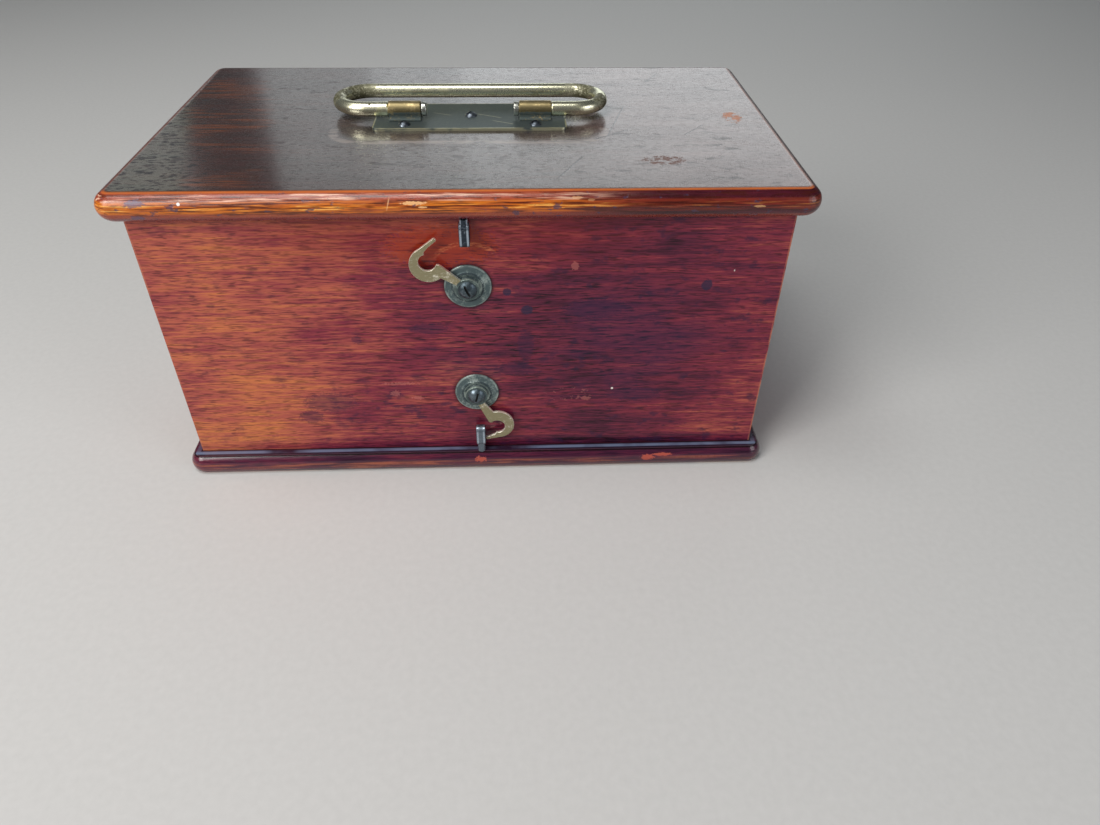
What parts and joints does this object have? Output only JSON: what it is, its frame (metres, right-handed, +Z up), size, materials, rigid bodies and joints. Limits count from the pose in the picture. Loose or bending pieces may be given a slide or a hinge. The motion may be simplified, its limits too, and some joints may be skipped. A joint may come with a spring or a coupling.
{
  "type": "wooden money box",
  "caption": "Rectangular hardwood box with a moulded plinth, a hinged half-round-edged lid, a brass drop handle, and swan-neck hooks and eyes at the front.",
  "frame": {"origin": "middle of the plinth's underside, on the surface the box stands on", "axes": "+X to the box's right seen from the front, +Y to the back, +Z up"},
  "size_m": [0.305, 0.186, 0.1636],
  "materials": {
    "plinth_wood": "worn French-polished mahogany",
    "case_wood": "worn French-polished mahogany",
    "lid_wood": "French-polished mahogany, hazed on top",
    "till_wood": "bare mahogany",
    "hinge_brass": "dull",
    "hinge_screw_brass": "dull",
    "hook_brass": "tarnished",
    "washer_brass": "dark green-grey patina",
    "hook_screw_steel": "dull dark steel",
    "eye_steel": "dull dark steel",
    "plate_brass": "dark green-grey patina",
    "lug_brass": "tarnished",
    "bail_brass": "worn bright on the grip",
    "button_brass": "dull",
    "plate_screw_steel": "dull dark steel"
  },
  "bodies": {
    "base": {"base_board": "plinth_wood", "lower_eye": "eye_steel", "base_hinge_leaf_left": "hinge_brass", "base_hinge_leaf_right": "hinge_brass", "base_hinge_screws": "hinge_screw_brass"},
    "case": {"front_board": "case_wood", "back_board": "case_wood", "left_board": "case_wood", "right_board": "case_wood", "till_floor": "till_wood", "case_foot_leaf_left": "hinge_brass", "case_foot_leaf_right": "hinge_brass", "case_foot_screws": "hinge_screw_brass", "case_top_leaf_left": "hinge_brass", "case_top_leaf_right": "hinge_brass", "case_top_screws": "hinge_screw_brass", "foot_hinge_pin_left": "hinge_brass", "foot_hinge_pin_right": "hinge_brass", "lid_hinge_pin_left": "hinge_brass", "lid_hinge_pin_right": "hinge_brass", "upper_hook_washer": "washer_brass", "upper_hook_screw": "hook_screw_steel", "lower_hook_washer": "washer_brass", "lower_hook_screw": "hook_screw_steel"},
    "upper_hook": {"upper_hook": "hook_brass"},
    "lower_hook": {"lower_hook": "hook_brass"},
    "lid": {"lid_board": "lid_wood", "lid_hinge_leaf_left": "hinge_brass", "lid_hinge_leaf_right": "hinge_brass", "lid_hinge_screws": "hinge_screw_brass", "upper_eye": "eye_steel", "handle_plate": "plate_brass", "handle_lug_left": "lug_brass", "handle_lug_right": "lug_brass", "handle_screws": "plate_screw_steel"},
    "bail": {"handle_bail": "bail_brass", "bail_button_left": "button_brass", "bail_button_right": "button_brass"}
  },
  "joints": [
    {"name": "case_tilt", "type": "hinge", "parent": "base", "child": "case", "pos_m": [0, 0.08745, 0.01073], "axis": [-1, 0, 0], "range_deg": [0, 92]},
    {"name": "lid_hinge", "type": "hinge", "parent": "case", "child": "lid", "pos_m": [0, 0.08745, 0.14097], "axis": [-1, 0, 0], "range_deg": [0, 150]},
    {"name": "bail_swing", "type": "hinge", "parent": "lid", "child": "bail", "pos_m": [0, -0.0044, 0.1598], "axis": [1, 0, 0], "range_deg": [-5, 185]},
    {"name": "upper_hook_turn", "type": "hinge", "parent": "case", "child": "upper_hook", "pos_m": [-0.0009, -0.0885, 0.10665], "axis": [0, 1, 0], "range_deg": [-150, 52]},
    {"name": "lower_hook_turn", "type": "hinge", "parent": "case", "child": "lower_hook", "pos_m": [0.0004, -0.0885, 0.04635], "axis": [0, 1, 0], "range_deg": [-130, 13]}
  ]
}
